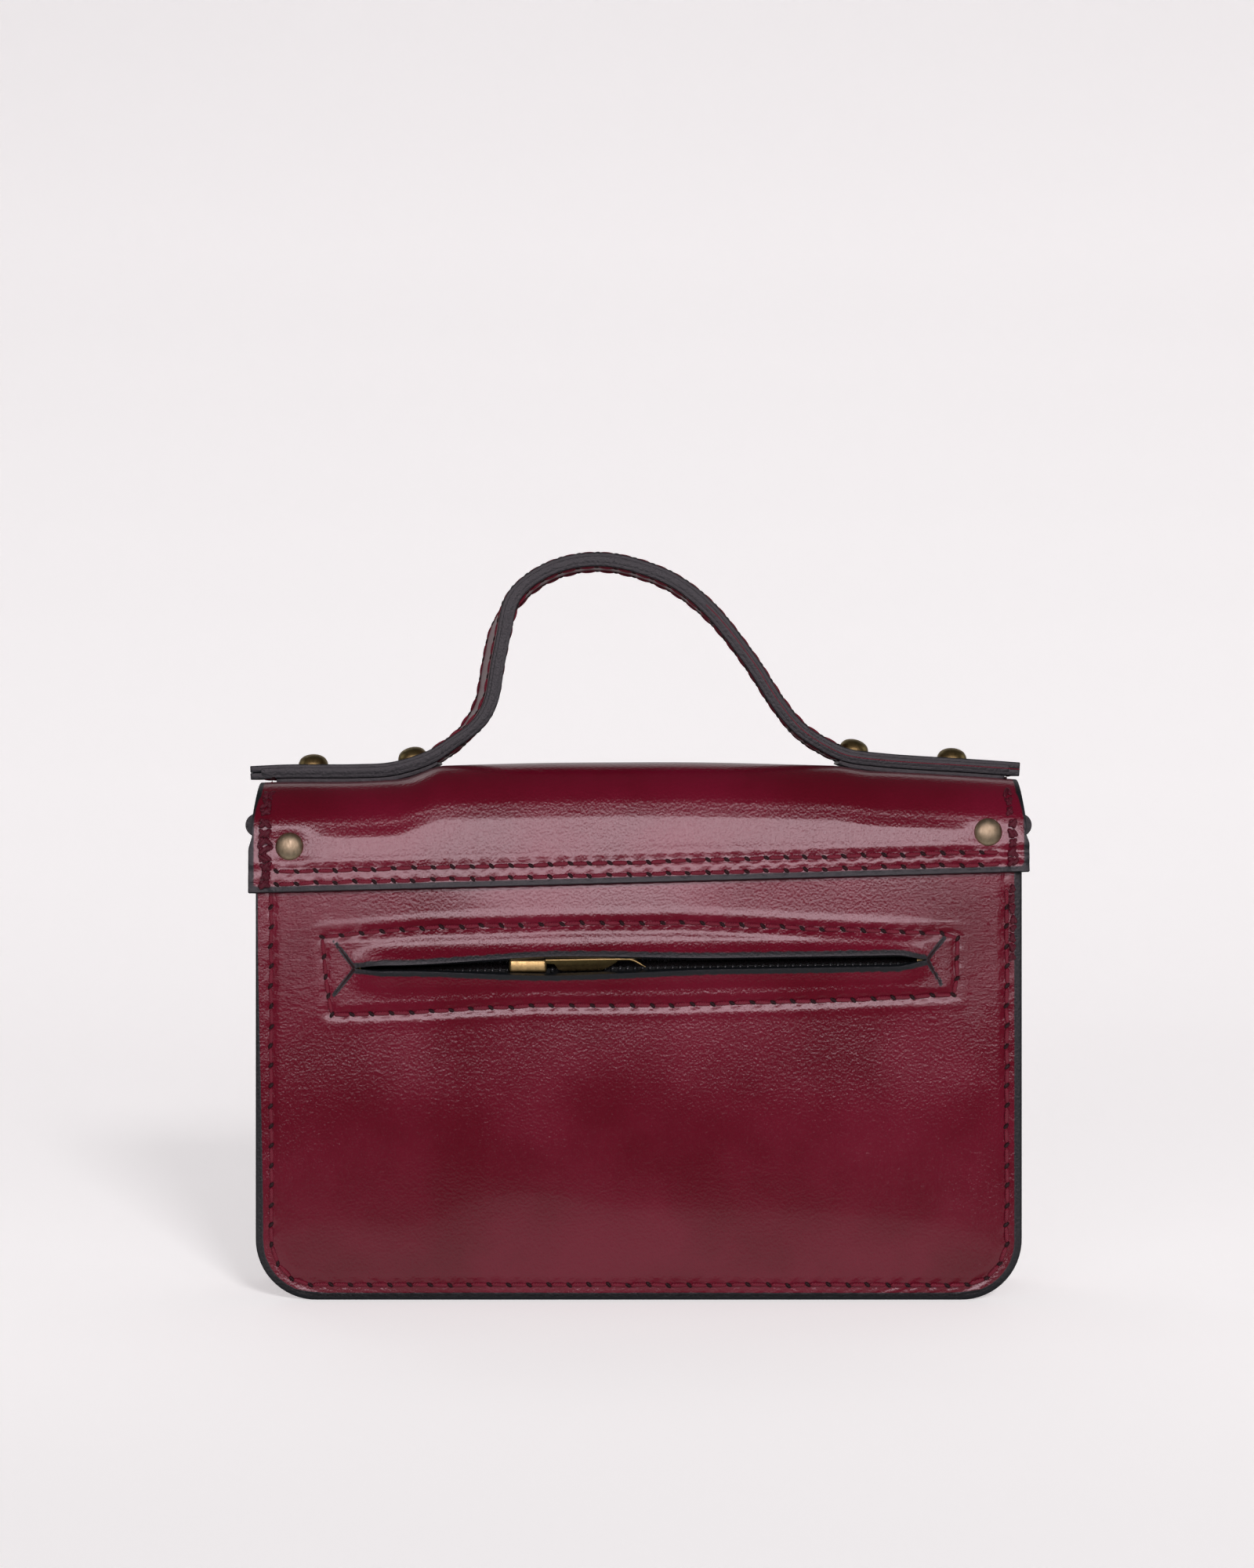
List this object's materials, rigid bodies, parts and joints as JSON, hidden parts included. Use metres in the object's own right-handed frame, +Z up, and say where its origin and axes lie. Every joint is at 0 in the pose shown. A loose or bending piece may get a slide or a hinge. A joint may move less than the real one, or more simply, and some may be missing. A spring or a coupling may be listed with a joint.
{
  "type": "satchel bag",
  "caption": "Small polished leather satchel with a lifting flap, riveted top handle, zipped back pocket, front slip pocket, buckled magnetic closures and side rings.",
  "frame": {"origin": "middle of the base, at the bottom of the bounding box", "axes": "+X along the width, front faces -Y, back with the zip pocket faces +Y, +Z up"},
  "size_m": [0.2242, 0.0688, 0.211],
  "materials": {
    "leather": "polished",
    "leather_lining": "satin",
    "antique_brass": "aged satin",
    "rivet_brass": "satin",
    "zip_brass": "polished",
    "zip_tape": "woven",
    "zip_coil": "gloss",
    "lining_fabric": "woven"
  },
  "bodies": {
    "bag": {"back_panel": "leather", "front_panel": "leather", "gusset": "leather_lining", "flap_back_strip": "leather", "pocket_front": "leather", "pocket_gusset": "leather_lining", "back_rivets": "rivet_brass", "back_rivet_caps": "rivet_brass", "zip_tape_upper": "zip_tape", "zip_tape_lower": "zip_tape", "zip_coil_upper": "zip_coil", "zip_coil_lower": "zip_coil", "zip_end_stops": "zip_brass", "zip_pocket_lining": "lining_fabric", "dring_tab_left": "leather", "dring_tab_right": "leather", "tab_rivets": "antique_brass", "tab_rivet_caps": "antique_brass", "snap_socket_left": "antique_brass", "snap_socket_right": "antique_brass"},
    "lifting_flap": {"flap": "leather", "handle_top_layer": "leather", "handle_lining": "leather_lining", "handle_rivets": "antique_brass", "handle_rivet_caps": "antique_brass", "closure_strap_left": "leather", "closure_strap_right": "leather", "buckle_frame_left": "antique_brass", "buckle_frame_right": "antique_brass", "buckle_tab_left": "leather", "buckle_tab_right": "leather", "keeper_left": "leather", "keeper_right": "leather", "snap_stud_left": "antique_brass", "snap_stud_right": "antique_brass"},
    "slider": {"zip_slider": "zip_brass"},
    "puller": {"zip_puller": "zip_brass"},
    "ring_left": {"dring_left": "antique_brass"},
    "ring_right": {"dring_right": "antique_brass"},
    "prong_left": {"buckle_prong_left": "antique_brass"},
    "prong_right": {"buckle_prong_right": "antique_brass"}
  },
  "joints": [
    {"name": "flap_open", "type": "hinge", "parent": "bag", "child": "lifting_flap", "pos_m": [0, 0.03176, 0.136], "axis": [-1, 0, 0], "range_deg": [0, 140]},
    {"name": "zip_slide", "type": "slide", "parent": "bag", "child": "slider", "axis": [0.9999, 0, -0.015], "range_m": [-0.1034, 0.0414]},
    {"name": "puller_swing", "type": "hinge", "parent": "slider", "child": "puller", "pos_m": [0.031, 0.03131, 0.09394], "axis": [-0.015, 0, -0.9999], "range_deg": [0, 180]},
    {"name": "ring_left_swing", "type": "hinge", "parent": "bag", "child": "ring_left", "pos_m": [-0.1088, 0.00676, 0.133], "axis": [0, 1, 0], "range_deg": [0, 150]},
    {"name": "ring_right_swing", "type": "hinge", "parent": "bag", "child": "ring_right", "pos_m": [0.1088, 0.00676, 0.133], "axis": [0, -1, 0], "range_deg": [0, 150]},
    {"name": "prong_left_swing", "type": "hinge", "parent": "lifting_flap", "child": "prong_left", "pos_m": [-0.052, -0.02827, 0.043], "axis": [1, 0, 0], "range_deg": [0, 60]},
    {"name": "prong_right_swing", "type": "hinge", "parent": "lifting_flap", "child": "prong_right", "pos_m": [0.052, -0.02827, 0.043], "axis": [1, 0, 0], "range_deg": [0, 60]}
  ]
}
